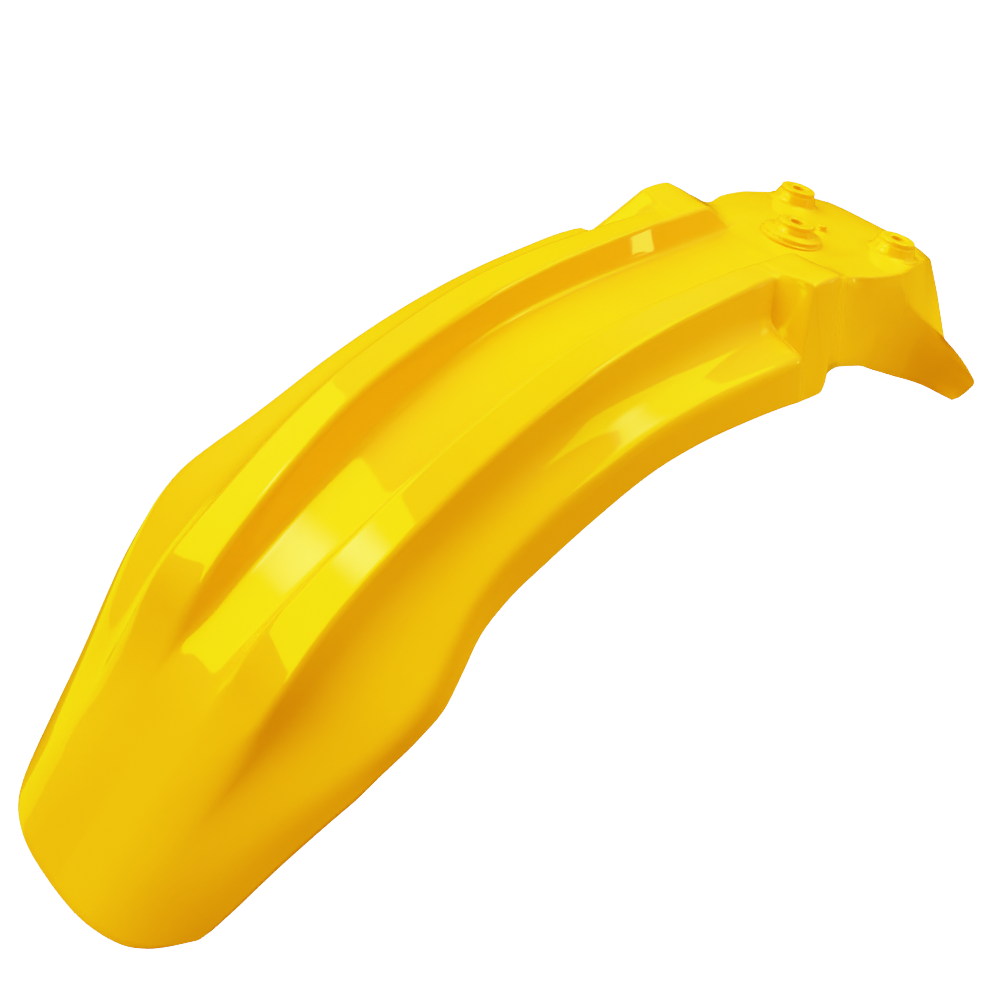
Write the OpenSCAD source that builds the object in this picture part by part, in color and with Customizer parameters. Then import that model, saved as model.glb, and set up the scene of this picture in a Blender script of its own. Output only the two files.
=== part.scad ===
// Front mudguard for a small off-road motorcycle: one moulded shell.
// Millimetres, +Z up along the bolt axes, +X to the rear, nose towards -X.
// The origin is midway between the top faces of the two rear bosses.

/* [Shell] */
// Thickness of the moulded wall
wall = 2.6; // [2:0.1:3.2]
// Distance from the rear bosses to the tip of the nose
front_reach = 464.5; // [440:0.5:490]
// Height of the rear bosses above the tip of the nose
nose_drop = 253.6; // [235:0.1:265]
// Greatest width of the flared front
flare_w = 177; // [165:1:190]
// Height of the two ridges beside the channel
ridge_h = 14; // [11:0.5:16]
// Width of the channel floor between the ridges
channel_w = 33; // [28:1:37]

/* [Fixing bosses] */
// Outer diameter of the ring on top of a boss
boss_od = 20; // [18:0.5:22]
// Diameter of the plain bolt hole
bore_d = 7; // [6.4:0.1:9]
// Distance between the two rear bolt holes
rear_pitch = 67; // [62:1:69]
// Distance of the front bolt hole ahead of the rear pair
front_pitch = 55; // [52:1:58]
// Thickness of the boss top that the bolt clamps
boss_floor = 5; // [4:0.25:6]

/* [Gate mark] */
// Diameter of the moulding nub between the bosses
nub_d = 5; // [4:0.5:7]
// Height of the moulding nub
nub_h = 3; // [2:0.5:4]

/* [Hidden] */
plate_z = -8.4;
eps = 0.01;
fs_round = 64;
bends = 3;
yellow = [0.98, 0.80, 0.05];

// stretch of the part ahead of the raised box
kx = (front_reach - 146) / 318.5;
kz = (nose_drop - 17.1) / 236.5;
kw = flare_w / 177;
kr = ridge_h / 14;
kc = channel_w / 33;

// ---- centre line of the channel floor: [x, z] ----
SP = [[-464.5, -253.6], [-437, -206], [-409, -162], [-389, -137.5], [-370, -118.5],
      [-352, -102], [-330, -84], [-305, -65.5], [-277, -48.5], [-255, -38],
      [-231, -30.5], [-204, -25], [-175, -20.8], [-145, -17], [-115, -13.6],
      [-87, -10.6], [-60, -9], [-20, -8.4], [45, -8.4]];

// ---- sections ahead of the box, as [position, [half width, height] of six corners] ----
// corners: channel floor edge, ridge inner crest, ridge outer crest,
// ridge foot, wing crown, rolled-down edge
FW = [
 [-464.5, [13, .4], [25, .4], [36, -2], [44.5, -5.2], [53, -10.2], [62.6, -17.4]],
 [-456, [13, .4], [25, .3], [36, -1.8], [45, -5.2], [54.6, -10.8], [64.8, -18.4]],
 [-446, [13, .3], [24, .2], [36, -1.6], [45.5, -5.2], [56.4, -11.3], [67.2, -18.9]],
 [-428, [13, .2], [22, .2], [38, -2.2], [46, -6.2], [62.6, -12.6], [72.7, -19.4]],
 [-412, [13, .1], [17.6, .9], [41, 1.2], [48.5, -6.8], [70.4, -12.9], [79.6, -19]],
 [-404, [12.4, 0], [17.6, 2.9], [42, 4], [49.5, -6.4], [74.6, -12.8], [82.7, -18.5]],
 [-396, [11.8, 0], [18, 6.4], [42.5, 7], [50.4, -5.6], [78.4, -12.2], [84.8, -17.8]],
 [-380, [12.5, 0], [19.6, 10.8], [41.2, 9.9], [51.6, -2.6], [83.4, -10.2], [87.8, -17]],
 [-370, [13.2, 0], [20.6, 12.2], [40.6, 11.2], [52, -.8], [83.6, -8.9], [87.6, -17.4]],
 [-358, [14, 0], [21.4, 13.5], [40.6, 12.4], [52, .6], [80.2, -7.6], [83, -17.4]],
 [-346, [14.8, 0], [22.4, 14.4], [41, 13.4], [51.6, 1.2], [75.4, -5.9], [77.6, -17.8]],
 [-332, [15.8, 0], [23.4, 15.3], [41.6, 14], [51.2, 1.4], [71.8, -4.9], [74.7, -19.6]],
 [-312, [16.6, 0], [24.2, 15.4], [41.6, 14], [50.6, .6], [69.9, -5.6], [73.6, -23.2]],
 [-285, [16.8, 0], [24.2, 13.8], [41, 12.6], [50.2, -1.4], [69, -7.9], [73, -26.2]],
 [-255, [16.6, 0], [23.8, 12.9], [40.5, 11.5], [50, -2.8], [69, -10.5], [73.2, -27.2]],
 [-220, [17, 0], [23.8, 12.9], [39.8, 11.5], [49.6, -4], [69.8, -10.4], [74.2, -27.8]],
 [-185, [17.8, 0], [24.4, 13.4], [39, 12], [48.8, -5], [71.2, -9.6], [76.2, -28.4]],
 [-158, [18.4, 0], [24.8, 13.8], [38.4, 12.4], [48.2, -5.6], [72.2, -9.2], [77.4, -30.2]],
 [-146, [18.6, 0], [25, 14], [38.2, 12.6], [48, -5.8], [72, -9.8], [77.8, -31.6]]];
// how far behind the tip each corner starts, for the rounded front outline
DU = [0, .3, 1.3, 2.4, 3.8, 7, 13.4];

// ---- sections of the box, plate and side skirts, as points [x, y, z] ----
RW = [
 [-141.5, [-141.5, 0, -16.6], [-141.5, 18.8, -16.6], [-139.1, 25, -2.7], [-133.9, 38, -3.35],
       [-139.8, 47, -22.1], [-139.2, 69.4, -29.3], [-138.2, 78.1, -48.1]],
 [-140.5, [-140.5, 0, -16.5], [-140.5, 18.8, -16.5], [-138, 25, -2.6], [-132.6, 38, -3.2],
       [-138.8, 47, -21.9], [-138, 69.2, -29.2], [-136.5, 78.1, -48]],
 [-139.6, [-139.6, 0, -16.4], [-139.6, 18.8, -16.4], [-137.2, 25, -2.5], [-132.3, 38, -3.1],
       [-137.9, 47.1, -20.4], [-137, 68.1, -27.2], [-135.5, 78.2, -47.9]],
 [-129, [-129, 0, -15.2], [-129, 19, -15.2], [-128.6, 25.4, -1.9], [-129.2, 38, -2.4],
       [-127.2, 48.4, -2.6], [-125.6, 55.8, -3], [-124, 79, -46.2]],
 [-126.5, [-126.5, 0, -14.9], [-126.5, 19, -14.9], [-126.8, 25.5, -1.65], [-127.6, 38, -1.7],
       [-126, 48.5, -.7], [-124.4, 54.7, -.7], [-122.6, 78.9, -45.7]],
 [-122, [-122, 0, -14.4], [-122, 19.2, -14.4], [-122, 25.6, -1.2], [-122, 38, -1],
       [-122, 48.6, .2], [-121.5, 54.8, .3], [-121, 78.4, -44.6]],
 [-104, [-104, 0, -12.4], [-104, 19.6, -12.4], [-104, 26, .4], [-104, 38, .4],
       [-104, 49, 1.8], [-104, 55.4, 2], [-114, 74.4, -41]],
 [-99, [-99, 0, -11.9], [-99, 19.8, -11.9], [-99, 25.7, -.5], [-99, 38, -.3],
       [-99, 48.6, .8], [-99, 54.6, .6], [-104, 71, -43]],
 [-92, [-92, 0, -11.1], [-92, 20.2, -11.1], [-92, 23.2, -5.6], [-92, 36, -2.4],
       [-92, 47.5, -1.8], [-92, 52.4, -3.2], [-95, 68, -45.6]],
 [-86, [-86, 0, -10.7], [-86, 20.5, -10.7], [-86, 22, -9.4], [-86, 36, -4.6],
       [-85.2, 46.4, -4], [-84.4, 50.2, -5.4], [-86.5, 65.5, -48]],
 [-80, [-80, 0, -10.2], [-80, 21, -10.2], [-80, 23, -9.3], [-80, 37, -6.5],
       [-77.5, 44.8, -6.6], [-75, 47.6, -8.4], [-78, 63, -50.4]],
 [-70, [-70, 0, -9.6], [-70, 21.8, -9.4], [-70, 26, -8.4], [-70, 38, -7.6],
       [-67.8, 46.2, -7.8], [-66.2, 49, -12], [-64, 59.6, -54.6]],
 [-50, [-50, 0, -8.8], [-50, 22, -8.6], [-50, 28, -7.8], [-50, 40, -7.8],
       [-50, 51.4, -7.8], [-48, 52.6, -14], [-42, 56.6, -60.4]],
 [-26, [-26, 0, -8.5], [-26, 22, -8.4], [-26, 30, -8], [-26, 42, -8],
       [-26, 53.2, -8.3], [-21, 55, -15.5], [-20, 54.8, -66.2]],
 [-21, [-21, 0, -8.45], [-21, 21.7, -8.4], [-21, 30, -8.1], [-21, 41.6, -8.1],
       [-21, 52.9, -8.5], [-8.5, 56, -25.5], [-14.5, 55.2, -68]],
 [-19, [-19, 0, -8.4], [-19, 21.4, -8.4], [-19, 30, -8.1], [-19, 41.4, -8.1],
       [-19, 52.6, -8.6], [-4.6, 56.3, -28.4], [-12.3, 55.4, -68.7]],
 [-17, [-17, 0, -8.4], [-17, 21.2, -8.4], [-17, 30, -8.1], [-17, 41, -8.2],
       [-16.6, 52.1, -8.6], [-2.4, 56.8, -29.4], [-10.2, 55.6, -69.4]],
 [-4, [-4, 0, -8.4], [-4, 20, -8.4], [-4, 30, -8.2], [-4, 40, -8.3],
       [-4, 49.7, -8.8], [5.4, 58.4, -33], [0, 56.4, -72.6]],
 [16, [16, 0, -8.6], [16, 18, -8.6], [16, 27, -8.6], [16, 36, -8.8],
       [17, 45.7, -9.3], [18, 61.2, -39], [18, 61.4, -77.2]],
 [30, [30, 0, -9.2], [30, 17, -9.2], [30, 26, -9.4], [30, 34.5, -9.8],
       [31, 42.9, -11.6], [27, 65.4, -43.6], [34.5, 71.2, -80.4],
       [31, 53, -28.6], [38.5, 75.8, -60]],
 [40, [38, 0, -10], [38, 16, -10], [38, 24.5, -10.2], [38, 32.5, -10.8],
       [42.5, 40.4, -14.6], [33.4, 71.4, -48.2], [47.5, 88.8, -84],
       [45.4, 52.4, -31.5], [57, 94, -70.8]]];

// ---- curve helpers ----
function clampf(x, a, b) = min(max(x, a), b);
function seg_of(x, xs) = max([for (i = [0 : len(xs) - 2]) if (i == 0 || x >= xs[i] - 1e-9) i]);
function lerp_list(x, xs, ys) = let (i = seg_of(x, xs), t = clampf((x - xs[i]) / (xs[i + 1] - xs[i]), 0, 1))
    ys[i] * (1 - t) + ys[i + 1] * t;
// slopes of a smooth curve through the points
function slopes(xs, ys) = let (n = len(xs))
    [for (i = [0 : n - 1])
        i == 0 ? (ys[1] - ys[0]) / (xs[1] - xs[0])
      : i == n - 1 ? (ys[i] - ys[i - 1]) / (xs[i] - xs[i - 1])
      : let (h0 = xs[i] - xs[i - 1], h1 = xs[i + 1] - xs[i],
             d0 = (ys[i] - ys[i - 1]) / h0, d1 = (ys[i + 1] - ys[i]) / h1)
        (d0 * h1 + d1 * h0) / (h0 + h1)];
// slope at one knot that never overshoots
function mono(a, b, h0, h1) = a * b <= 0 ? 0
    : let (w1 = 2 * h1 + h0, w2 = h1 + 2 * h0) (w1 + w2) / (w1 / a + w2 / b);
function mono_slopes(xs, ys) = let (n = len(xs))
    [for (i = [0 : n - 1])
        i == 0 ? (ys[1] - ys[0]) / (xs[1] - xs[0])
      : i == n - 1 ? (ys[i] - ys[i - 1]) / (xs[i] - xs[i - 1])
      : let (h0 = xs[i] - xs[i - 1], h1 = xs[i + 1] - xs[i],
             d0 = (ys[i] - ys[i - 1]) / h0, d1 = (ys[i + 1] - ys[i]) / h1)
        [for (c = [0 : 2]) mono(d0[c], d1[c], h0, h1)]];
function herm(x, xs, ys, ms) = let (i = seg_of(x, xs), h = xs[i + 1] - xs[i], t = (x - xs[i]) / h,
    t2 = t * t, t3 = t2 * t)
    (2 * t3 - 3 * t2 + 1) * ys[i] + (t3 - 2 * t2 + t) * h * ms[i]
    + (3 * t2 - 2 * t3) * ys[i + 1] + (t3 - t2) * h * ms[i + 1];
function dherm(x, xs, ys, ms) = let (i = seg_of(x, xs), h = xs[i + 1] - xs[i], t = (x - xs[i]) / h)
    (6 * t * t - 6 * t) * (ys[i] - ys[i + 1]) / h + (3 * t * t - 4 * t + 1) * ms[i]
    + (3 * t * t - 2 * t) * ms[i + 1];
function unit(v) = v / max(norm(v), 1e-9);

// ---- centre line ----
SX = [for (p = SP) p[0]];
SZ = [for (p = SP) p[1]];
SM = slopes(SX, SZ);
function reach(x) = x < -146 ? -146 + (x + 146) * kx : x;
function drop(z) = z < -17.1 ? -17.1 + (z + 17.1) * kz : z;
// a point at half width w and height h square to the centre line
function local(u, w, h) = let (a = atan(dherm(u, SX, SZ, SM) * kz / kx))
    [reach(u) - h * sin(a), w, drop(herm(u, SX, SZ, SM)) + h * cos(a)];

// ---- control net: nine corners per row ----
function fade(u) = clampf((-146 - u) / 184, 0, 1);
function between(a, b) = (a + b) / 2;
function nine(p, x, y) = [p[0], p[1], p[2], p[3], p[4],
    is_undef(x) ? between(p[4], p[5]) : x, p[5],
    is_undef(y) ? between(p[5], p[6]) : y, p[6]];
function front_row(r) = let (u = r[0], g = fade(u), f = pow(max(0, 1 - (u + 464.5) / 33), 1.5))
    nine([local(u, 0, 0), for (k = [1 : 6])
        let (w = r[k][0], h = r[k][1],
             wk = k <= 2 ? 1 + (kc - 1) * g * (k == 1 ? 1 : .7) : k >= 5 ? 1 + (kw - 1) * g : 1,
             hk = (k == 2 || k == 3) && h > 0 ? 1 + (kr - 1) * g : 1)
        local(u + DU[k] * f, w * wk, h * hk)]);
ROWS = concat([for (r = FW) front_row(r)],
              [for (r = RW) nine([for (k = [1 : 7]) r[k]], r[8], r[9])]);
S = [for (r = FW) r[0], for (r = RW) r[0]];
NF = len(FW);
COLS = [for (k = [0 : 8]) [for (r = ROWS) r[k]]];
SLOPES = [for (k = [0 : 8]) let (a = slopes(S, COLS[k]), b = mono_slopes(S, COLS[k]))
    [for (i = [0 : len(S) - 1]) i < NF - 1 ? a[i] : b[i]]];
function ctrl(s) = [for (k = [0 : 8]) herm(s, S, COLS[k], SLOPES[k])];

// ---- corner rounding along the length ----
FK = [-463, -430, -405, -385, -340, -200, -139, -122, -80, 45];
FR = [[], [30, 22, 7, 5, 4, 4, 4, 4, 4, 5], [30, 18, 5, 4, 3.4, 3.2, 3, 3, 3, 5],
      [30, 18, 5, 4, 3.4, 3.2, 3, 3, 3.2, 6], [30, 30, 22, 14, 13, 10, 6, 4, 2.6, 2.4],
      [], [10, 7, 6, 7, 7, 7, 6, 3, 2.6, 2.6]];
function bend(a, c, b, n) = [for (j = [0 : n - 1]) let (t = j / (n - 1))
    (1 - t) * (1 - t) * a + 2 * t * (1 - t) * c + t * t * b];
function round_at(s) = [for (k = [0 : 8]) len(k < 7 ? FR[k] : []) == 0 ? 0 : lerp_list(s, FK, FR[k])];
// half a section, centre to edge, from its nine corners and their rounding;
// behind the box the two middle corners are real ones, ahead of it they only divide a flat side
function mix(a, b, t) = a + (b - a) * t;
function half(c, f, s) = let (k = clampf((s + 19) / 33, 0, 1),
    L = [for (i = [0 : 7]) max(norm(c[i + 1] - c[i]), 1e-6)],
    la = [0, min(f[1], .8 * L[0]), min(f[2], .45 * L[1]), min(f[3], .45 * L[2]), min(f[4], .45 * L[3]), 0,
          min(f[6], mix(.4 * (L[4] + L[5]), .45 * L[5], k))],
    lb = [0, min(f[1], .45 * L[1]), min(f[2], .45 * L[2]), min(f[3], .45 * L[3]),
          min(f[4], mix(.4 * (L[4] + L[5]), .45 * L[4], k)), 0,
          min(f[6], mix(.55 * (L[6] + L[7]), .45 * L[6], k))],
    e4 = c[4] + (c[5] - c[4]) * (lb[4] / L[4]),
    b6 = c[6] + (c[5] - c[6]) * (la[6] / L[5]),
    e6 = c[6] + (c[7] - c[6]) * (lb[6] / L[6]),
    c7 = mix((e6 + c[8]) / 2, c[7], k))
    [c[0],
     for (k = [1 : 4]) each bend(c[k] + (c[k - 1] - c[k]) * (la[k] / L[k - 1]), c[k],
                                 c[k] + (c[k + 1] - c[k]) * (lb[k] / L[k]), bends),
     mix((e4 + b6) / 2, c[5], k),
     each bend(b6, c[6], e6, bends),
     each bend(mix(c7, e6, .3), c7, mix(c7, c[8], .3), bends),
     c[8]];
function full(h) = let (n = len(h))
    [for (j = [n - 1 : -1 : 1]) [h[j][0], -h[j][1], h[j][2]], each h];
// corners of the underside: each one moved in by the wall, square to both of its faces
function under(s) = let (c = ctrl(s), d = ctrl(min(s + .5, 40)) - ctrl(max(s - .5, -464.5)),
    side = [for (k = [0 : 7]) unit(c[k + 1] - c[k])],
    left = [for (k = [0 : 8]) unit(cross(d[k], side[max(k - 1, 0)]))],
    right = [for (k = [0 : 8]) unit(cross(d[k], side[min(k, 7)]))],
    q = [for (k = [0 : 8]) let (a = k == 0 ? [right[0][0], 0, right[0][2]] : left[k], b = k == 0 ? a : right[k])
        c[k] - wall * (a + b) / max(1 + a * b, .5)],
    turn = [for (k = [0 : 8]) k == 0 || k == 8 ? 0
        : acos(clampf(side[k - 1] * side[k], -1, 1)) * (cross(side[k - 1], side[k]) * d[k] > 0 ? 1 : -1)],
    f = round_at(s))
    [q, [for (k = [0 : 8]) f[k] == 0 ? 0 : max(.8, f[k] - wall * tan(turn[k] / 2))]];

// ---- stations along the length, closer where the shape turns ----
STATIONS = [-464.5, -455, -442, -430,
            for (i = [0 : 4]) -420 + i * 8,
            for (i = [0 : 5]) -374 + i * 14,
            for (i = [0 : 4]) -280 + i * 28,
            -146, -140.5, -134, -128, -122, -112, -104, -98, -92, -86, -80, -70,
            -50, -26, -19, -11, -4, 6, 16, 23, 30, 35, 40];
TOP = [for (s = STATIONS) full(half(ctrl(s), round_at(s), s))];
UNDER = [for (s = STATIONS) let (u = under(s)) full(half(u[0], u[1], s))];
NR = len(TOP);
NC = len(TOP[0]);

module shell() {
    n = NR * NC;
    polyhedron(
        points = [for (r = TOP) each r, for (r = UNDER) each r],
        faces = concat(
            [for (i = [0 : NR - 2], j = [0 : NC - 2]) let (a = i * NC + j, b = a + NC)
                each [[a, a + 1, b + 1], [a, b + 1, b]]],
            [for (i = [0 : NR - 2], j = [0 : NC - 2]) let (a = n + i * NC + j, b = a + NC)
                each [[a, b + 1, a + 1], [a, b, b + 1]]],
            [for (j = [0 : NC - 2], i = [0, NR - 1]) let (a = i * NC + j)
                each (i == 0 ? [[a, a + n, a + n + 1], [a, a + n + 1, a + 1]]
                             : [[a, a + n + 1, a + n], [a, a + 1, a + n + 1]])],
            [for (i = [0 : NR - 2], j = [0, NC - 1]) let (a = i * NC + j, b = a + NC)
                each (j == 0 ? [[a, b + n, a + n], [a, b, b + n]]
                             : [[a, a + n, b + n], [a, b + n, b]])]),
        convexity = 12);
}

// outside of one boss: wide foot, flared neck and plain ring
module boss_out(foot_r) {
    rotate_extrude($fn = fs_round)
        polygon([[0, plate_z - wall / 2], [foot_r, plate_z - wall / 2], [foot_r, plate_z + .1],
                 [foot_r - 1.2, plate_z + .6], [foot_r - 2.2, plate_z + 1.9],
                 [boss_od / 2 + 1.2, -3.8], [boss_od / 2 + .3, -2.6], [boss_od / 2 + .1, -.9],
                 [boss_od / 2 - .6, 0], [0, 0]]);
}

// wider disc under the front boss
module foot_disc(r) {
    translate([0, 0, plate_z - wall / 2])
        rotate_extrude($fn = fs_round)
            polygon([[0, 0], [r, 0], [r, wall / 2 + .5], [r - .6, wall / 2 + 1.5],
                     [r - 1.6, wall / 2 + 2.6], [r - 4, wall / 2 + 3.4], [0, wall / 2 + 3.4]]);
}

// hollow below the clamped top, so the wall stays even
module boss_in(foot_r) {
    rotate_extrude($fn = fs_round)
        polygon([[0, plate_z - wall - 2], [foot_r - wall, plate_z - wall - 2],
                 [foot_r - wall, plate_z - wall + .6], [boss_od / 2 - 1, -boss_floor], [0, -boss_floor]]);
}

module bolt_hole() {
    translate([0, 0, plate_z - wall - 4]) cylinder(h = 20, d = bore_d, $fn = fs_round);
}

boss_places = [[0, rear_pitch / 2, 14.6], [0, -rear_pitch / 2, 14.6], [-front_pitch, 0, 15.4]];

module mudguard() {
    color(yellow) difference() {
        union() {
            shell();
            for (p = boss_places) translate([p[0], p[1], 0]) boss_out(p[2]);
            translate([-front_pitch, 0, 0]) foot_disc(16.6);
            translate([-23, 0, plate_z - 1]) cylinder(h = nub_h + 1, d = nub_d, $fn = 32);
        }
        for (p = boss_places) translate([p[0], p[1], 0]) {
            boss_in(p[2]);
            bolt_hole();
        }
    }
}

mudguard();
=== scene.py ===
import math
import bpy
import bmesh
import numpy as np
from mathutils import Matrix, Vector


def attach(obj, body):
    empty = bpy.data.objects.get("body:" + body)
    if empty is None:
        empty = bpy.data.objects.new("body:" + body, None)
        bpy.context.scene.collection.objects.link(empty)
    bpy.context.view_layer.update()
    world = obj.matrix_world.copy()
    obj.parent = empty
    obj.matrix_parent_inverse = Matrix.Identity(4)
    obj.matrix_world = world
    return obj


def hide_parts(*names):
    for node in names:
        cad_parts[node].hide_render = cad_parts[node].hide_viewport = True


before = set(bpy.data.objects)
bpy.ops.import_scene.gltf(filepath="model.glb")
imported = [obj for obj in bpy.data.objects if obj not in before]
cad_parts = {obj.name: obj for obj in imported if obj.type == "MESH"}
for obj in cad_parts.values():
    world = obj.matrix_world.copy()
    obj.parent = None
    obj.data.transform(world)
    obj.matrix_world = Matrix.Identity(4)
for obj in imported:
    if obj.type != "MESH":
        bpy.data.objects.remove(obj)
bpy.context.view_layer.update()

MM = 0.001

# ------------------------------------------------------------------ the shell's own rule
# (the same corner net as part.scad, in millimetres, drawn much more finely)
WALL = 2.6
EDGE = 1.15          # the rim is rounded by this much
SP = [(-464.5, -253.6), (-437, -206), (-409, -162), (-389, -137.5), (-370, -118.5), (-352, -102),
      (-330, -84), (-305, -65.5), (-277, -48.5), (-255, -38), (-231, -30.5), (-204, -25),
      (-175, -20.8), (-145, -17), (-115, -13.6), (-87, -10.6), (-60, -9), (-20, -8.4), (45, -8.4)]
FW = [
    (-464.5, (13, .4), (25, .4), (36, -2), (44.5, -5.2), (53, -10.2), (62.6, -17.4)),
    (-456, (13, .4), (25, .3), (36, -1.8), (45, -5.2), (54.6, -10.8), (64.8, -18.4)),
    (-446, (13, .3), (24, .2), (36, -1.6), (45.5, -5.2), (56.4, -11.3), (67.2, -18.9)),
    (-428, (13, .2), (22, .2), (38, -2.2), (46, -6.2), (62.6, -12.6), (72.7, -19.4)),
    (-412, (13, .1), (17.6, .9), (41, 1.2), (48.5, -6.8), (70.4, -12.9), (79.6, -19)),
    (-404, (12.4, 0), (17.6, 2.9), (42, 4), (49.5, -6.4), (74.6, -12.8), (82.7, -18.5)),
    (-396, (11.8, 0), (18, 6.4), (42.5, 7), (50.4, -5.6), (78.4, -12.2), (84.8, -17.8)),
    (-380, (12.5, 0), (19.6, 10.8), (41.2, 9.9), (51.6, -2.6), (83.4, -10.2), (87.8, -17)),
    (-370, (13.2, 0), (20.6, 12.2), (40.6, 11.2), (52, -.8), (83.6, -8.9), (87.6, -17.4)),
    (-358, (14, 0), (21.4, 13.5), (40.6, 12.4), (52, .6), (80.2, -7.6), (83, -17.4)),
    (-346, (14.8, 0), (22.4, 14.4), (41, 13.4), (51.6, 1.2), (75.4, -5.9), (77.6, -17.8)),
    (-332, (15.8, 0), (23.4, 15.3), (41.6, 14), (51.2, 1.4), (71.8, -4.9), (74.7, -19.6)),
    (-312, (16.6, 0), (24.2, 15.4), (41.6, 14), (50.6, .6), (69.9, -5.6), (73.6, -23.2)),
    (-285, (16.8, 0), (24.2, 13.8), (41, 12.6), (50.2, -1.4), (69, -7.9), (73, -26.2)),
    (-255, (16.6, 0), (23.8, 12.9), (40.5, 11.5), (50, -2.8), (69, -10.5), (73.2, -27.2)),
    (-220, (17, 0), (23.8, 12.9), (39.8, 11.5), (49.6, -4), (69.8, -10.4), (74.2, -27.8)),
    (-185, (17.8, 0), (24.4, 13.4), (39, 12), (48.8, -5), (71.2, -9.6), (76.2, -28.4)),
    (-158, (18.4, 0), (24.8, 13.8), (38.4, 12.4), (48.2, -5.6), (72.2, -9.2), (77.4, -30.2)),
    (-146, (18.6, 0), (25, 14), (38.2, 12.6), (48, -5.8), (72, -9.8), (77.8, -31.6))]
DU = (0, .3, 1.3, 2.4, 3.8, 7, 13.4)
RW = [
    (-141.5, (-141.5, 0, -16.6), (-141.5, 18.8, -16.6), (-139.1, 25, -2.7), (-133.9, 38, -3.35),
     (-139.8, 47, -22.1), (-139.2, 69.4, -29.3), (-138.2, 78.1, -48.1)),
    (-140.5, (-140.5, 0, -16.5), (-140.5, 18.8, -16.5), (-138, 25, -2.6), (-132.6, 38, -3.2),
     (-138.8, 47, -21.9), (-138, 69.2, -29.2), (-136.5, 78.1, -48)),
    (-139.6, (-139.6, 0, -16.4), (-139.6, 18.8, -16.4), (-137.2, 25, -2.5), (-132.3, 38, -3.1),
     (-137.9, 47.1, -20.4), (-137, 68.1, -27.2), (-135.5, 78.2, -47.9)),
    (-129, (-129, 0, -15.2), (-129, 19, -15.2), (-128.6, 25.4, -1.9), (-129.2, 38, -2.4),
     (-127.2, 48.4, -2.6), (-125.6, 55.8, -3), (-124, 79, -46.2)),
    (-126.5, (-126.5, 0, -14.9), (-126.5, 19, -14.9), (-126.8, 25.5, -1.65), (-127.6, 38, -1.7),
     (-126, 48.5, -.7), (-124.4, 54.7, -.7), (-122.6, 78.9, -45.7)),
    (-122, (-122, 0, -14.4), (-122, 19.2, -14.4), (-122, 25.6, -1.2), (-122, 38, -1),
     (-122, 48.6, .2), (-121.5, 54.8, .3), (-121, 78.4, -44.6)),
    (-104, (-104, 0, -12.4), (-104, 19.6, -12.4), (-104, 26, .4), (-104, 38, .4),
     (-104, 49, 1.8), (-104, 55.4, 2), (-114, 74.4, -41)),
    (-99, (-99, 0, -11.9), (-99, 19.8, -11.9), (-99, 25.7, -.5), (-99, 38, -.3),
     (-99, 48.6, .8), (-99, 54.6, .6), (-104, 71, -43)),
    (-92, (-92, 0, -11.1), (-92, 20.2, -11.1), (-92, 23.2, -5.6), (-92, 36, -2.4),
     (-92, 47.5, -1.8), (-92, 52.4, -3.2), (-95, 68, -45.6)),
    (-86, (-86, 0, -10.7), (-86, 20.5, -10.7), (-86, 22, -9.4), (-86, 36, -4.6),
     (-85.2, 46.4, -4), (-84.4, 50.2, -5.4), (-86.5, 65.5, -48)),
    (-80, (-80, 0, -10.2), (-80, 21, -10.2), (-80, 23, -9.3), (-80, 37, -6.5),
     (-77.5, 44.8, -6.6), (-75, 47.6, -8.4), (-78, 63, -50.4)),
    (-70, (-70, 0, -9.6), (-70, 21.8, -9.4), (-70, 26, -8.4), (-70, 38, -7.6),
     (-67.8, 46.2, -7.8), (-66.2, 49, -12), (-64, 59.6, -54.6)),
    (-50, (-50, 0, -8.8), (-50, 22, -8.6), (-50, 28, -7.8), (-50, 40, -7.8),
     (-50, 51.4, -7.8), (-48, 52.6, -14), (-42, 56.6, -60.4)),
    (-26, (-26, 0, -8.5), (-26, 22, -8.4), (-26, 30, -8), (-26, 42, -8),
     (-26, 53.2, -8.3), (-21, 55, -15.5), (-20, 54.8, -66.2)),
    (-21, (-21, 0, -8.45), (-21, 21.7, -8.4), (-21, 30, -8.1), (-21, 41.6, -8.1),
     (-21, 52.9, -8.5), (-8.5, 56, -25.5), (-14.5, 55.2, -68)),
    (-19, (-19, 0, -8.4), (-19, 21.4, -8.4), (-19, 30, -8.1), (-19, 41.4, -8.1),
     (-19, 52.6, -8.6), (-4.6, 56.3, -28.4), (-12.3, 55.4, -68.7)),
    (-17, (-17, 0, -8.4), (-17, 21.2, -8.4), (-17, 30, -8.1), (-17, 41, -8.2),
     (-16.6, 52.1, -8.6), (-2.4, 56.8, -29.4), (-10.2, 55.6, -69.4)),
    (-4, (-4, 0, -8.4), (-4, 20, -8.4), (-4, 30, -8.2), (-4, 40, -8.3),
     (-4, 49.7, -8.8), (5.4, 58.4, -33), (0, 56.4, -72.6)),
    (16, (16, 0, -8.6), (16, 18, -8.6), (16, 27, -8.6), (16, 36, -8.8),
     (17, 45.7, -9.3), (18, 61.2, -39), (18, 61.4, -77.2)),
    (30, (30, 0, -9.2), (30, 17, -9.2), (30, 26, -9.4), (30, 34.5, -9.8),
     (31, 42.9, -11.6), (27, 65.4, -43.6), (34.5, 71.2, -80.4), (31, 53, -28.6), (38.5, 75.8, -60)),
    (40, (38, 0, -10), (38, 16, -10), (38, 24.5, -10.2), (38, 32.5, -10.8),
     (42.5, 40.4, -14.6), (33.4, 71.4, -48.2), (47.5, 88.8, -84), (45.4, 52.4, -31.5), (57, 94, -70.8))]
FK = [-463, -430, -405, -385, -340, -200, -139, -122, -80, 45]
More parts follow.
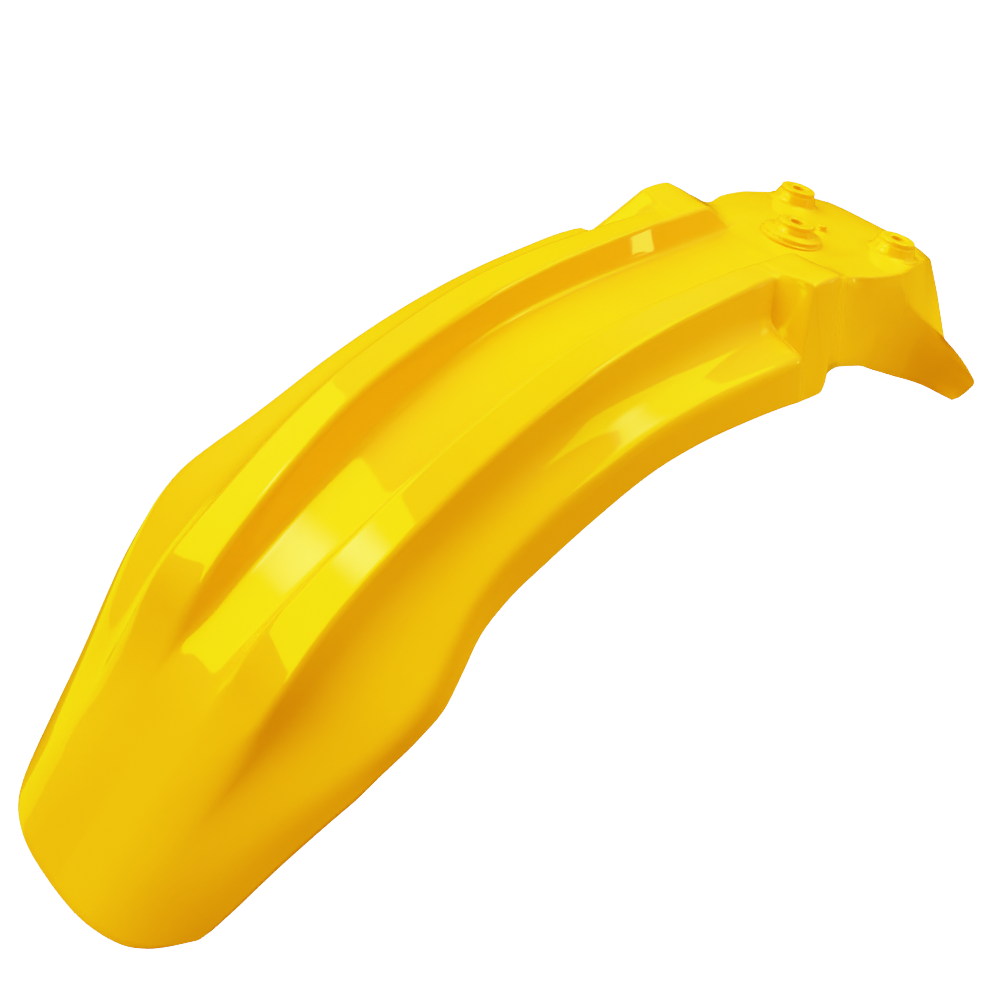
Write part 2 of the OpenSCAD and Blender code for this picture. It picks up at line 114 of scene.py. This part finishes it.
FR = {1: [30, 20, 5, 3.6, 3.2, 3, 3, 3, 2, 4], 2: [30, 14, 3.8, 3, 2.6, 2.4, 2.2, 2.2, 2.4, 4],
      3: [30, 14, 3.2, 2.4, 2.2, 2.2, 2.2, 2, 2.4, 5], 4: [30, 30, 22, 14, 13, 10, 6, 2.4, 1.6, 1.4],
      6: [10, 5.5, 4.5, 5, 5, 5, 4, 2, 1.8, 1.8]}


def slopes(xs, ys):
    m = np.zeros_like(ys)
    h = np.diff(xs).reshape((-1,) + (1,) * (ys.ndim - 1))
    d = np.diff(ys, axis=0) / h
    m[0], m[-1] = d[0], d[-1]
    m[1:-1] = (d[:-1] * h[1:] + d[1:] * h[:-1]) / (h[1:] + h[:-1])
    return m


def mono_slopes(xs, ys):
    m = np.zeros_like(ys)
    h = np.diff(xs).reshape((-1,) + (1,) * (ys.ndim - 1))
    d = np.diff(ys, axis=0) / h
    m[0], m[-1] = d[0], d[-1]
    a, b = d[:-1], d[1:]
    w1, w2 = 2 * h[1:] + h[:-1], h[1:] + 2 * h[:-1]
    ok = a * b > 0
    sa, sb = np.where(ok, a, 1.0), np.where(ok, b, 1.0)
    m[1:-1] = np.where(ok, (w1 + w2) / (w1 / sa + w2 / sb), 0.0)
    return m


def herm(xs, ys, ms, x):
    i = int(np.clip(np.searchsorted(xs, x, side="right") - 1, 0, len(xs) - 2))
    h = xs[i + 1] - xs[i]
    t = (x - xs[i]) / h
    t2, t3 = t * t, t * t * t
    return ((2 * t3 - 3 * t2 + 1) * ys[i] + (t3 - 2 * t2 + t) * h * ms[i]
            + (3 * t2 - 2 * t3) * ys[i + 1] + (t3 - t2) * h * ms[i + 1])


SX = np.array([p[0] for p in SP], float)
SZ = np.array([p[1] for p in SP], float)
SM = slopes(SX, SZ)


def spine(u):
    return float(herm(SX, SZ, SM, u))


def spine_angle(u):
    return math.atan((spine(u + .05) - spine(u - .05)) / .1)


def local(u, w, h):
    a = spine_angle(u)
    return (u - h * math.sin(a), w, spine(u) + h * math.cos(a))


def nine(p, x=None, y=None):
    mid = lambda a, b: tuple((a[i] + b[i]) / 2 for i in range(3))
    return [p[0], p[1], p[2], p[3], p[4], x or mid(p[4], p[5]), p[5], y or mid(p[5], p[6]), p[6]]


rows = []
for r in FW:
    f = max(0.0, 1 - (r[0] + 464.5) / 33.0) ** 1.5
    rows.append(nine([local(r[0], 0, 0)] + [local(r[0] + DU[k + 1] * f, w, h)
                                            for k, (w, h) in enumerate(r[1:])]))
for r in RW:
    rows.append(nine(r[1:8], *(r[8:10] if len(r) > 8 else ())))
S = np.array([r[0] for r in FW + RW], float)
CP = np.array(rows, float)
SL = mono_slopes(S, CP)
SL[:len(FW) - 1] = slopes(S, CP)[:len(FW) - 1]


def ctrl(s):
    return herm(S, CP, SL, s)


def unit(v):
    n = np.linalg.norm(v, axis=-1, keepdims=True)
    return v / np.maximum(n, 1e-9)


def rounding(s):
    return [float(np.interp(s, FK, FR[k])) if k in FR else 0.0 for k in range(9)]


def under(s):
    c = ctrl(s)
    d = ctrl(min(s + .5, 40)) - ctrl(max(s - .5, -464.5))
    side = unit(c[1:] - c[:-1])
    f = rounding(s)
    q, g = np.zeros((9, 3)), [0.0] * 9
    for k in range(9):
        a = unit(np.cross(d[k], side[max(k - 1, 0)]))
        b = unit(np.cross(d[k], side[min(k, 7)]))
        if k == 0:
            a = b = np.array([b[0], 0, b[2]])
        q[k] = c[k] - WALL * (a + b) / max(1 + float(a @ b), .5)
        if f[k]:
            t = math.acos(max(-1.0, min(1.0, float(side[k - 1] @ side[k]))))
            t *= 1 if float(np.cross(side[k - 1], side[k]) @ d[k]) > 0 else -1
            g[k] = max(.8, f[k] - WALL * math.tan(t / 2))
    return q, g


# how many points each straight run and each rounded corner gets
RUN = {0: 5, 1: 3, 2: 5, 3: 4, 4: 4, 5: 4, 6: 4, 7: 4}
CORNER = {1: 7, 2: 7, 3: 8, 4: 8, 6: 8, 7: 4}


def mix(a, b, k):
    return a + (b - a) * k


def half(c, f, s):
    """one side of a row, from the centre line out to the rim"""
    k = min(1.0, max(0.0, (s + 19) / 33.0))          # 1 where the row has its own corners in web and tab
    g = min(1.0, max(0.0, (s - 26) / 14.0)) ** 2     # 1 at the rear edge, where the tab's outline bows out
    c = c.copy()
    c[8] = c[8] + unit(c[7] - c[8]) * EDGE
    L = [max(float(np.linalg.norm(c[i + 1] - c[i])), 1e-6) for i in range(8)]
    la = [0, min(f[1], .8 * L[0]), min(f[2], .45 * L[1]), min(f[3], .45 * L[2]), min(f[4], .45 * L[3]), 0,
          min(f[6], mix(.4 * (L[4] + L[5]), .45 * L[5], k)), 0]
    lb = [0, min(f[1], .45 * L[1]), min(f[2], .45 * L[2]), min(f[3], .45 * L[3]),
          min(f[4], mix(.4 * (L[4] + L[5]), .45 * L[4], k)), 0,
          min(f[6], mix(.55 * (L[6] + L[7]), .45 * L[6], k)), 0]
    start = {i: c[i] + (c[i - 1] - c[i]) * (la[i] / L[i - 1]) for i in (1, 2, 3, 4)}
    end = {i: c[i] + (c[i + 1] - c[i]) * (lb[i] / L[i]) for i in (1, 2, 3, 4)}
    start[6] = c[6] + (c[5] - c[6]) * (la[6] / L[5])
    end[6] = c[6] + (c[7] - c[6]) * (lb[6] / L[6])
    c[5] = mix((end[4] + start[6]) / 2, c[5], k)
    c[7] = mix((end[6] + c[8]) / 2, c[7], k)
    for i, j, t in ((7, 6, start), (7, 8, end)):
        q = end[6] if j == 6 else c[8]
        d = max(float(np.linalg.norm(q - c[7])), 1e-6)
        t[7] = c[7] + (q - c[7]) * (min(.3 * d, 6.0) / d)
    out = []

    def run(a, b, n, bow=(0, 0, 0)):       # n points, without the last one
        for j in range(n):
            t = j / n
            out.append(a + (b - a) * t + 4 * t * (1 - t) * g * np.array(bow))

    def corner(i):
        n = CORNER[i]
        for j in range(n):                 # without the last one
            t = j / n
            out.append((1 - t) ** 2 * start[i] + 2 * t * (1 - t) * c[i] + t * t * end[i])

    run(c[0], start[1], RUN[0])
    corner(1)
    run(end[1], start[2], RUN[1])
    corner(2)
    run(end[2], start[3], RUN[2])
    corner(3)
    run(end[3], start[4], RUN[3])
    corner(4)
    run(end[4], c[5], RUN[4])
    run(c[5], start[6], RUN[5])
    corner(6)
    run(end[6], start[7], RUN[6], (1.5, 0, .45))
    corner(7)
    run(end[7], c[8], RUN[7], (1.0, 0, -.9))
    out.append(c[8])
    return np.array(out)


def full(h):
    return np.concatenate([h[::-1][:-1] * np.array([1, -1, 1]), h])


def stations():
    out, s = [], -464.5 + EDGE
    while s < 40 - .4:
        out.append(s)
        if -142 < s < -136.5 or -131 < s < -124 or -23 < s < -15:
            step = .55
        elif -150 < s < -100:
            step = 1.1
        elif -100 < s < -60:
            step = 1.5
        elif s > 14:
            step = 1.3
        elif s < -445:
            step = 1.4
        elif s < -370:
            step = 2.3
        elif s > -60:
            step = 2.6
        else:
            step = 3.2
        s += step
    out.append(40 - .4)
    return out


ST = stations()
TOP = np.array([full(half(ctrl(s), rounding(s), s)) for s in ST])
UND = []
for s in ST:
    q, g = under(s)
    UND.append(full(half(q, g, s)))
UND = np.array(UND)
NR, NC = TOP.shape[:2]


def unfold(top, und):
    """at a sharp outer corner the underside must not run back over itself"""
    step = top[1:] - top[:-1]
    size = np.linalg.norm(step, axis=1)
    for _ in range(40):
        gain = ((und[1:] - und[:-1]) * step).sum(axis=1) / np.maximum(size, 1e-9)
        bad = np.nonzero(gain < .03 * size)[0]
        if len(bad) == 0:
            break
        runs = np.split(bad, np.nonzero(np.diff(bad) > 1)[0] + 1)
        for r in runs:
            lo, hi = max(r[0] - 1, 0), min(r[-1] + 2, len(top) - 1)
            for i in range(lo + 1, hi):
                und[i] = und[lo] + (und[hi] - und[lo]) * (i - lo) / (hi - lo)


for j in range(NC):
    col = UND[:, j].copy()
    unfold(TOP[:, j], col)
    UND[:, j] = col


def rim_points(t, u, out):
    """three points that round an edge from the top skin to the under skin"""
    m, r = (t + u) / 2, EDGE
    return [m + (t - m) * math.cos(p) + out * r * math.sin(p) for p in (math.pi / 4, math.pi / 2, 3 * math.pi / 4)]


def build_shell():
    # closed loop across each row: top, rounded rim, under, rounded rim
    ring = []
    for i in range(NR):
        a, b = TOP[i], UND[i]
        o1 = unit(a[-1] - a[-2])
        o0 = unit(a[0] - a[1])
        ring.append(np.concatenate([a, rim_points(a[-1], b[-1], o1), b[::-1], rim_points(b[0], a[0], o0)]))
    ring = np.array(ring)
    n = ring.shape[1]
    # outward directions at the two ends, the nose and the rear edge
    caps = []
    for end, nxt in ((0, 1), (NR - 1, NR - 2)):
        caps.append((end, unit(TOP[end] - TOP[nxt])))
    verts = list(ring.reshape(-1, 3))
    faces = []
    for i in range(NR - 1):
        for j in range(n):
            k = (j + 1) % n
            faces.append((i * n + j, i * n + k, (i + 1) * n + k, (i + 1) * n + j))
    # each end is closed by a rounded strip: pairs of top and under points, with three points between
    for end, out in caps:
        base = end * n
        top_id = [base + j for j in range(NC)]
        und_id = [base + NC + 3 + (NC - 1 - j) for j in range(NC)]
        rim_hi = [base + NC, base + NC + 1, base + NC + 2]                    # at the far edge
        rim_lo = [base + 2 * NC + 5, base + 2 * NC + 4, base + 2 * NC + 3]    # at the near edge, top to under
        cols = []
        for j in range(NC):
            o = out[j]
            if j in (0, NC - 1):
                cols.append([top_id[j]] + (rim_lo if j == 0 else rim_hi) + [und_id[j]])
                continue
            pts = rim_points(TOP[end][j], UND[end][j], o)
            ids = []
            for p in pts:
                ids.append(len(verts))
                verts.append(p)
            cols.append([top_id[j]] + ids + [und_id[j]])
        for j in range(NC - 1):
            for m in range(4):
                q = (cols[j][m], cols[j][m + 1], cols[j + 1][m + 1], cols[j + 1][m])
                faces.append(q if end == 0 else q[::-1])
    me = bpy.data.meshes.new("mudguard_shell")
    me.from_pydata([tuple(v * MM) for v in verts], [], faces)
    me.validate()
    bm = bmesh.new()
    bm.from_mesh(me)
    bmesh.ops.recalc_face_normals(bm, faces=bm.faces)
    bm.to_mesh(me)
    bm.free()
    return me


def lathe(name, profile, n=96, at=(0, 0, 0), turn=.017):
    """closed solid of revolution about +Z; the profile's first and last points lie on the axis"""
    bm = bmesh.new()
    loops = []
    for (r, z) in profile:
        if r < 1e-6:
            loops.append([bm.verts.new(((at[0]) * MM, (at[1]) * MM, (at[2] + z) * MM))])
        else:
            loops.append([bm.verts.new(((at[0] + r * math.cos(2 * math.pi * k / n + turn)) * MM,
                                        (at[1] + r * math.sin(2 * math.pi * k / n + turn)) * MM,
                                        (at[2] + z) * MM)) for k in range(n)])
    for a, b in zip(loops, loops[1:]):
        for k in range(n):
            l = (k + 1) % n
            if len(a) == 1 and len(b) == 1:
                continue
            if len(a) == 1:
                bm.faces.new((a[0], b[l], b[k]))
            elif len(b) == 1:
                bm.faces.new((a[k], a[l], b[0]))
            else:
                bm.faces.new((a[k], a[l], b[l], b[k]))
    bmesh.ops.recalc_face_normals(bm, faces=bm.faces)
    me = bpy.data.meshes.new(name)
    bm.to_mesh(me)
    bm.free()
    o = bpy.data.objects.new(name, me)
    bpy.context.scene.collection.objects.link(o)
    return o


def arc(c, r, a0, a1, n):
    return [(c[0] + r * math.cos(math.radians(a0 + (a1 - a0) * k / n)),
             c[1] + r * math.sin(math.radians(a0 + (a1 - a0) * k / n))) for k in range(n + 1)]


PZ = -8.4                                   # the plate's upper face
REAR = [(0, 33.5), (0, -33.5)]
FRONT = (-55, 0)


def boss_outer(foot):
    """foot that runs out softly, tapered neck, shallow groove, ring with rounded shoulders"""
    p = [(0, PZ - 1.4), (foot + .4, PZ - 1.4), (foot + .4, PZ - .03), (foot - .3, PZ + .1)]
    p += [(foot - 1.0, PZ + .38), (foot - 1.6, PZ + .8), (foot - 2.1, PZ + 1.4), (foot - 2.5, PZ + 2.2)]
    p += [(11.5, -4.7), (11.1, -3.7), (10.85, -3.15), (10.6, -2.8), (10.35, -2.5), (10.22, -2.1)]
    p += [(10.1, -1.0)] + arc((9.1, -.9), .9, 5, 90, 8)
    p += [(6.2, 0)] + arc((6.2, -.6), .6, 90, 150, 4)[1:] + [(5.4, -.5), (0, -.5)]
    return p


def disc(foot):
    """the wider disc that the front boss stands on"""
    p = [(0, PZ - 1.2), (foot + .6, PZ - 1.2), (foot + .6, PZ - .02), (foot + .1, PZ + .12), (foot - .3, PZ + .4)]
    p += [(foot - .6, PZ + .9)] + arc((foot - 2.0, PZ + 1.5), 1.3, 0, 75, 6)
    p += [(foot - 3.4, PZ + 2.95), (12.3, PZ + 3.5), (0, PZ + 3.5)]
    return p


def boss_inner(foot):
    return [(0, PZ - WALL - 3), (foot - WALL, PZ - WALL - 3), (foot - WALL, PZ - WALL + .6), (9.6, -5.6),
            (9.0, -5.0), (0, -5.0)]


def boolean(target, tool, op):
    m = target.modifiers.new("b", "BOOLEAN")
    m.operation = op
    m.solver = "EXACT"
    m.material_mode = "TRANSFER"
    m.object = tool
    tool.data.materials.append(SEAM)
    bpy.context.view_layer.objects.active = target
    for o in bpy.context.selected_objects:
        o.select_set(False)
    target.select_set(True)
    bpy.ops.object.modifier_apply(modifier=m.name)
    bpy.data.objects.remove(tool, do_unlink=True)


SEAM = bpy.data.materials.new("seam_marker")
shell = bpy.data.objects.new("mudguard_moulding", build_shell())
shell.data.materials.append(bpy.data.materials.new("skin_marker"))
bpy.context.scene.collection.objects.link(shell)

for (x, y), foot in ((REAR[0], 14.6), (REAR[1], 14.6), (FRONT, 15.4)):
    boolean(shell, lathe("boss", boss_outer(foot), 96, (x, y, 0)), "UNION")
boolean(shell, lathe("disc", disc(16.6), 96, (*FRONT, 0)), "UNION")
# gate nub
boolean(shell, lathe("nub", [(0, PZ - 1.2), (3.0, PZ - 1.2), (3.0, PZ), (2.7, PZ + .25), (2.5, PZ + .7)]
                     + arc((2.05, PZ + 2.3), .45, 0, 90, 4) + [(1.2, PZ + 2.75), (1.0, PZ + 2.5), (0, PZ + 2.45)],
                     48, (-23, 0, 0)), "UNION")
for (x, y), foot in ((REAR[0], 15.0), (REAR[1], 15.0), (FRONT, 16.0)):
    boolean(shell, lathe("hollow", boss_inner(foot), 96, (x, y, 0), .029), "DIFFERENCE")
    boolean(shell, lathe("bore", [(0, -7), (3.5, -7), (3.5, 3), (0, 3)], 72, (x, y, 0), .041), "DIFFERENCE")

me = shell.data
# close the hair cracks and drop the sliver faces that joining can leave
bm = bmesh.new()
bm.from_mesh(me)
bmesh.ops.remove_doubles(bm, verts=bm.verts, dist=2e-6)
bmesh.ops.dissolve_degenerate(bm, dist=2e-6, edges=bm.edges)
bmesh.ops.holes_fill(bm, edges=[e for e in bm.edges if len(e.link_faces) == 1], sides=12)
bmesh.ops.delete(bm, geom=[e for e in bm.edges if not e.link_faces], context='EDGES')
bm.to_mesh(me)
bm.free()
for p in me.polygons:
    p.use_smooth = True
shell.data.set_sharp_from_angle(angle=math.radians(38))
bm = bmesh.new()
bm.from_mesh(me)
for e in bm.edges:
    if len(e.link_faces) == 2 and e.link_faces[0].material_index != e.link_faces[1].material_index:
        e.smooth = False
for f in bm.faces:
    f.material_index = 0
bm.to_mesh(me)
bm.free()
wn = shell.modifiers.new("wn", "WEIGHTED_NORMAL")
wn.keep_sharp = True
wn.weight = 60
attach(shell, "root")
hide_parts("mudguard")


# ------------------------------------------------------------------ material
def plastic():
    m = bpy.data.materials.new("gloss_yellow_plastic")
    m.use_nodes = True
    nt = m.node_tree
    nt.nodes.clear()
    N, L = nt.nodes.new, nt.links.new
    out = N("ShaderNodeOutputMaterial")
    b = N("ShaderNodeBsdfPrincipled")
    L(b.outputs[0], out.inputs[0])
    tc = N("ShaderNodeTexCoord")
    # slow mottling of the pigment, as moulded polypropylene has
    n1 = N("ShaderNodeTexNoise")
    n1.inputs["Scale"].default_value = 9
    n1.inputs["Detail"].default_value = 3
    L(tc.outputs["Object"], n1.inputs["Vector"])
    r1 = N("ShaderNodeValToRGB")
    r1.color_ramp.elements[0].position = .3
    r1.color_ramp.elements[1].position = .7
    r1.color_ramp.elements[0].color = (0.885, 0.398, 0.0020, 1)
    r1.color_ramp.elements[1].color = (0.905, 0.418, 0.0025, 1)
    L(n1.outputs["Fac"], r1.inputs["Fac"])
    L(r1.outputs["Color"], b.inputs["Base Color"])
    # gloss that varies a little
    n2 = N("ShaderNodeTexNoise")
    n2.inputs["Scale"].default_value = 26
    n2.inputs["Detail"].default_value = 5
    L(tc.outputs["Object"], n2.inputs["Vector"])
    mr = N("ShaderNodeMapRange")
    mr.inputs["To Min"].default_value = .015
    mr.inputs["To Max"].default_value = .05
    L(n2.outputs["Fac"], mr.inputs["Value"])
    L(mr.outputs[0], b.inputs["Coat Roughness"])
    # faint skin of the mould and soft flow waves
    n3 = N("ShaderNodeTexNoise")
    n3.inputs["Scale"].default_value = 900
    n3.inputs["Detail"].default_value = 2
    L(tc.outputs["Object"], n3.inputs["Vector"])
    n4 = N("ShaderNodeTexNoise")
    n4.inputs["Scale"].default_value = 30
    n4.inputs["Detail"].default_value = 1
    L(tc.outputs["Object"], n4.inputs["Vector"])
    b1 = N("ShaderNodeBump")
    b1.inputs["Strength"].default_value = .05
    b1.inputs["Distance"].default_value = .0002
    L(n3.outputs["Fac"], b1.inputs["Height"])
    b2 = N("ShaderNodeBump")
    b2.inputs["Strength"].default_value = .06
    b2.inputs["Distance"].default_value = .003
    L(n4.outputs["Fac"], b2.inputs["Height"])
    L(b1.outputs[0], b2.inputs["Normal"])
    L(b2.outputs[0], b.inputs["Normal"])
    b.inputs["IOR"].default_value = 1.49
    b.inputs["Specular IOR Level"].default_value = .04
    b.inputs["Specular Tint"].default_value = (1, .8, .08, 1)
    b.inputs["Coat Weight"].default_value = 1.0
    b.inputs["Roughness"].default_value = .3
    return m


shell.data.materials.clear()
shell.data.materials.append(plastic())

# ------------------------------------------------------------------ floor, light, camera
CAM = Vector((-0.636292, -0.280, 0.185332))
RIGHT = Vector((0.68161, -0.68837, 0.24809))
UP = Vector((0.25115, 0.53855, 0.80429))
FWD = Vector((0.68726, 0.48591, -0.53997))

low = min((v.co.z for v in shell.data.vertices))
bpy.ops.mesh.primitive_plane_add(size=16, location=(-0.2, 0, low - 0.0005))
floor = bpy.context.object
floor.name = "floor"
fm = bpy.data.materials.new("pale_floor")
fm.use_nodes = True
fn = fm.node_tree
fn.nodes.clear()
fo = fn.nodes.new("ShaderNodeOutputMaterial")
# it is pure white to look at, and throws back only a little light
fe = fn.nodes.new("ShaderNodeEmission")
fp = fn.nodes.new("ShaderNodeLightPath")
fx = fn.nodes.new("ShaderNodeMapRange")
fx.inputs["To Min"].default_value = .12
fx.inputs["To Max"].default_value = 4.2
fn.links.new(fp.outputs["Is Camera Ray"], fx.inputs["Value"])
fn.links.new(fx.outputs[0], fe.inputs["Strength"])
fn.links.new(fe.outputs[0], fo.inputs[0])
floor.data.materials.append(fm)
floor.visible_glossy = False
floor.visible_shadow = False


# soft light from all round gives the form: direction, height and strength of each
for i, (az, el, k) in enumerate(((0, 52, .46), (105, 35, .66), (135, 35, .76), (150, -28, .135), (210, 18, .17),
                                 (240, 52, .10), (300, 60, .45), (330, -28, .94))):
    a, e = math.radians(az), math.radians(el)
    d = Vector((math.cos(a) * math.cos(e), math.sin(a) * math.cos(e), math.sin(e)))
    sun = bpy.data.lights.new("soft_%d" % i, "SUN")
    sun.angle = math.radians(50)
    sun.energy = math.pi * k
    so = bpy.data.objects.new("soft_%d" % i, sun)
    so.rotation_euler = (-d).to_track_quat("-Z", "Y").to_euler()
    so.visible_glossy = False
    bpy.context.scene.collection.objects.link(so)


# three small lights near the rear end, for its side and its plate
for name, at, to, size, power in (("rear_side", (.08, -.15, .09), (0, -.055, -.03), .08, .10),
                                  ("tab_fill", (-.12, -.28, -.04), (0, -.06, -.04), .12, .11),
                                  ("rear_top", (.03, .10, .27), (-.02, .01, -.01), .16, .27)):
    rl = bpy.data.lights.new(name, "AREA")
    rl.shape = "DISK"
    rl.size = size
    rl.energy = power
    ro = bpy.data.objects.new(name, rl)
    ro.location = at
    ro.rotation_euler = (Vector(to) - Vector(at)).to_track_quat("-Z", "Y").to_euler()
    ro.visible_glossy = False
    ro.visible_camera = False
    bpy.context.scene.collection.objects.link(ro)


# bright cards, which only the gloss reflects
def card(name, az, el, half_w, half_h, roll, radiance, dist=1.5, colour=(1.0, .95, .004), soft=False, aim=(-.25, 0, -.08)):
    a, e, r = math.radians(az), math.radians(el), math.radians(roll)
    d = Vector((math.cos(a) * math.cos(e), math.sin(a) * math.cos(e), math.sin(e)))
    h = Vector((-math.sin(a), math.cos(a), 0))
    v = d.cross(h)
    h, v = h * math.cos(r) + v * math.sin(r), v * math.cos(r) - h * math.sin(r)
    sx, sy = 2 * dist * math.tan(math.radians(half_w)), 2 * dist * math.tan(math.radians(half_h))
    l = bpy.data.lights.new(name, "AREA")
    l.shape = "RECTANGLE"
    l.size, l.size_y = sx, sy
    l.energy = radiance * math.pi * sx * sy
    l.color = colour
    o = bpy.data.objects.new(name, l)
    m = Matrix((h, v, d)).transposed().to_4x4()
    m.translation = Vector(aim) + d * dist
    o.matrix_world = m
    o.visible_diffuse = False
    o.visible_camera = False
    bpy.context.scene.collection.objects.link(o)
    if soft:                       # brightest in the middle, fading to nothing at its edges
        l.use_nodes = True
        ln = l.node_tree
        em = ln.nodes["Emission"]
        gp = ln.nodes.new("ShaderNodeNewGeometry")
        sub = ln.nodes.new("ShaderNodeVectorMath")
        sub.operation = "SUBTRACT"
        sub.inputs[1].default_value = (.5, .5, 0)
        ml = ln.nodes.new("ShaderNodeVectorMath")
        ml.operation = "MULTIPLY"
        ml.inputs[1].default_value = (2, 2, 0)
        le = ln.nodes.new("ShaderNodeVectorMath")
        le.operation = "LENGTH"
        fade = ln.nodes.new("ShaderNodeMapRange")
        fade.interpolation_type = "SMOOTHSTEP"
        fade.inputs["From Min"].default_value = .1
        fade.inputs["From Max"].default_value = .95
        fade.inputs["To Min"].default_value = 1
        fade.inputs["To Max"].default_value = 0
        ln.links.new(gp.outputs["Parametric"], sub.inputs[0])
        ln.links.new(sub.outputs[0], ml.inputs[0])
        ln.links.new(ml.outputs[0], le.inputs[0])
        ln.links.new(le.outputs["Value"], fade.inputs["Value"])
        ln.links.new(fade.outputs[0], em.inputs["Strength"])
    return o


HOT = (1.0, .97, .30)
card("left_window", 143.5, 30, 31.5, 18, 9, 5.4)
card("left_hot", 145, 36, 15.5, 6.5, 20, 11, 1.46, HOT, True)
card("top_window", -37, 61, 25, 12, 0, 3.4)
card("top_hot", -38, 68, 10, 9, 0, 5.0, 1.46, HOT, True)
card("little_window", -41, 12.7, 1.35, 2.1, 0, 7, .35, (1.0, .95, .12), False, (-.152, .022, -.011))
card("low_left", 110, -23, 22, 8.5, 0, 1.1)

w = bpy.data.worlds.new("studio")
bpy.context.scene.world = w
w.use_nodes = True
nt = w.node_tree
bg = nt.nodes["Background"]
bg.inputs[1].default_value = 1
# the room lights with a little white, and the gloss sees it warm and dim
lp = nt.nodes.new("ShaderNodeLightPath")
mx = nt.nodes.new("ShaderNodeMix")
mx.data_type = "RGBA"
mx.inputs["Factor"].default_value = 0
ca, cb = [i for i in mx.inputs if i.type == "RGBA"]
ca.default_value = (.10, .10, .10, 1)
my = nt.nodes.new("ShaderNodeMix")           # and it is white to look at, like the floor
my.data_type = "RGBA"
da, db = [i for i in my.inputs if i.type == "RGBA"]
db.default_value = (4.2, 4.2, 4.2, 1)
nt.links.new(lp.outputs["Is Camera Ray"], my.inputs["Factor"])
nt.links.new([o for o in mx.outputs if o.type == "RGBA"][0], da)
cb.default_value = (.21, .197, .0025, 1)
nt.links.new(lp.outputs["Is Glossy Ray"], mx.inputs["Factor"])
nt.links.new([o for o in my.outputs if o.type == "RGBA"][0], bg.inputs[0])

cam = bpy.data.cameras.new("camera")
cam.lens = 43.2
cam.sensor_width = 36
cam.sensor_fit = "HORIZONTAL"
cam.clip_start = .01
co = bpy.data.objects.new("camera", cam)
m = Matrix((RIGHT, UP, -FWD)).transposed().to_4x4()
m.translation = CAM
co.matrix_world = m
bpy.context.scene.collection.objects.link(co)
bpy.context.scene.camera = co

vs = bpy.context.scene.view_settings
vs.view_transform = "Standard"
vs.look = "None"
vs.exposure = 0
vs.gamma = 1
# a camera's soft shoulder: light values up to 4 are held under full white
vs.use_curve_mapping = True
cm = vs.curve_mapping
cm.white_level = (4, 4, 4)
cv = cm.curves[3]
SHOULDER = [(.62, .62), (.75, .735), (.85, .775), (.95, .805), (1.05, .83), (1.15, .858), (1.25, .878), (1.4, .905),
            (1.6, .922), (1.9, .94), (2.3, .96), (3, .985)]
for x, y in SHOULDER:
    cv.points.new(x / 4, y)
for pt in cv.points:
    pt.handle_type = "VECTOR"
# the pigment's shade goes to orange, not to olive: red falls more slowly than green
for x, y in ((.14, .235), (.25, .40), (.36, .52), (.45, .60), (.58, .672), (.655, .708), (.76, .766), (.85, .85)):
    cm.curves[0].points.new(x / 4, y / 4)
for pt in cm.curves[0].points:
    pt.handle_type = "VECTOR"
cm.update()
